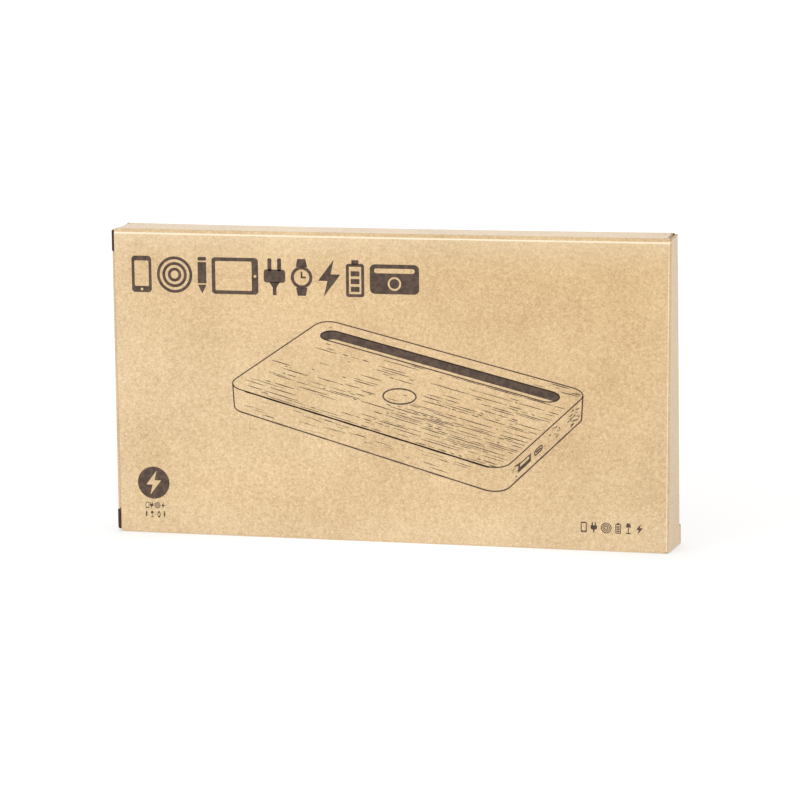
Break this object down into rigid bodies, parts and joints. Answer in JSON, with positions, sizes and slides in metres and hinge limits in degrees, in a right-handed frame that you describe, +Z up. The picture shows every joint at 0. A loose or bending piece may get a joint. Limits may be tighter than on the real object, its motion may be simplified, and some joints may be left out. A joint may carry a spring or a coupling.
{
  "type": "boxed wireless charger",
  "caption": "Slab wireless charger with pen slot and USB sockets, packed in a closed kraft board tuck-end carton whose slit-locked end flaps open.",
  "frame": {"origin": "on the surface the carton stands on, under the middle of its footprint", "axes": "+X along the carton to the viewer's right when facing the printed panel, -Y out of the printed front panel, +Z up as it stands"},
  "size_m": [0.2215, 0.019, 0.122],
  "materials": {
    "kraft_board": "matte",
    "bamboo": "satin",
    "black_plastic": "matte",
    "white_plastic": "matte",
    "steel": "satin",
    "rubber": "matte",
    "green_laminate": "satin",
    "black_epoxy": "matte",
    "tan_ceramic": "matte",
    "copper_wire": "satin",
    "ferrite": "matte",
    "foam": "matte"
  },
  "bodies": {
    "carton": {"carton_sleeve": "kraft_board", "inner_spacer": "kraft_board", "charger_body": "bamboo", "base_cover": "black_plastic", "cover_screw_1": "steel", "cover_screw_2": "steel", "cover_screw_3": "steel", "cover_screw_4": "steel", "rubber_foot_1": "rubber", "rubber_foot_2": "rubber", "rubber_foot_3": "rubber", "rubber_foot_4": "rubber", "usb_a_shell": "steel", "usb_a_insert": "white_plastic", "usb_c_shell": "steel", "usb_c_insert": "black_plastic", "circuit_board": "green_laminate", "board_screw_1": "steel", "board_screw_2": "steel", "controller_chip": "black_epoxy", "bridge_chip_1": "black_epoxy", "bridge_chip_2": "black_epoxy", "resonance_capacitor_1": "tan_ceramic", "resonance_capacitor_2": "tan_ceramic", "resonance_capacitor_3": "tan_ceramic", "power_inductor": "black_epoxy", "charging_coil": "copper_wire", "ferrite_plate": "ferrite", "foam_pad": "foam"},
    "right_closure": {"right_closure": "kraft_board"},
    "right_tuck_flap": {"right_tuck_flap": "kraft_board"},
    "left_closure": {"left_closure": "kraft_board"},
    "left_tuck_flap": {"left_tuck_flap": "kraft_board"},
    "right_dust_flap_top": {"right_dust_flap_top": "kraft_board"},
    "right_dust_flap_bottom": {"right_dust_flap_bottom": "kraft_board"},
    "left_dust_flap_top": {"left_dust_flap_top": "kraft_board"},
    "left_dust_flap_bottom": {"left_dust_flap_bottom": "kraft_board"}
  },
  "joints": [
    {"name": "right_closure_hinge", "type": "hinge", "parent": "carton", "child": "right_closure", "pos_m": [0.10944, -0.00894, 0.061], "axis": [0, 0, -1], "range_deg": [0, 120]},
    {"name": "right_tuck_fold", "type": "hinge", "parent": "right_closure", "child": "right_tuck_flap", "pos_m": [0.10951, 0.00644, 0.061], "axis": [-0.0093, 0, 1], "range_deg": [0, 66]},
    {"name": "right_dust_top_crease", "type": "hinge", "parent": "carton", "child": "right_dust_flap_top", "pos_m": [0.10814, 0, 0.12144], "axis": [0, -1, 0], "range_deg": [0, 60]},
    {"name": "right_dust_bottom_crease", "type": "hinge", "parent": "carton", "child": "right_dust_flap_bottom", "pos_m": [0.10814, 0, 0.00056], "axis": [0, 1, 0], "range_deg": [0, 60]},
    {"name": "left_closure_hinge", "type": "hinge", "parent": "carton", "child": "left_closure", "pos_m": [-0.10944, 0.00894, 0.061], "axis": [0, 0, -1], "range_deg": [0, 120]},
    {"name": "left_tuck_fold", "type": "hinge", "parent": "left_closure", "child": "left_tuck_flap", "pos_m": [-0.10874, -0.00644, 0.061], "axis": [0, 0, 1], "range_deg": [0, 66]},
    {"name": "left_dust_top_crease", "type": "hinge", "parent": "carton", "child": "left_dust_flap_top", "pos_m": [-0.10814, 0, 0.12144], "axis": [0, 1, 0], "range_deg": [0, 60]},
    {"name": "left_dust_bottom_crease", "type": "hinge", "parent": "carton", "child": "left_dust_flap_bottom", "pos_m": [-0.10814, 0, 0.00056], "axis": [0, -1, 0], "range_deg": [0, 60]}
  ],
  "couplings": [
    {"joint": "right_tuck_fold", "follows": "right_closure_hinge", "ratio": 0.55},
    {"joint": "right_dust_top_crease", "follows": "right_closure_hinge", "ratio": 0.5},
    {"joint": "right_dust_bottom_crease", "follows": "right_closure_hinge", "ratio": 0.5},
    {"joint": "left_tuck_fold", "follows": "left_closure_hinge", "ratio": 0.55},
    {"joint": "left_dust_top_crease", "follows": "left_closure_hinge", "ratio": 0.5},
    {"joint": "left_dust_bottom_crease", "follows": "left_closure_hinge", "ratio": 0.5}
  ]
}
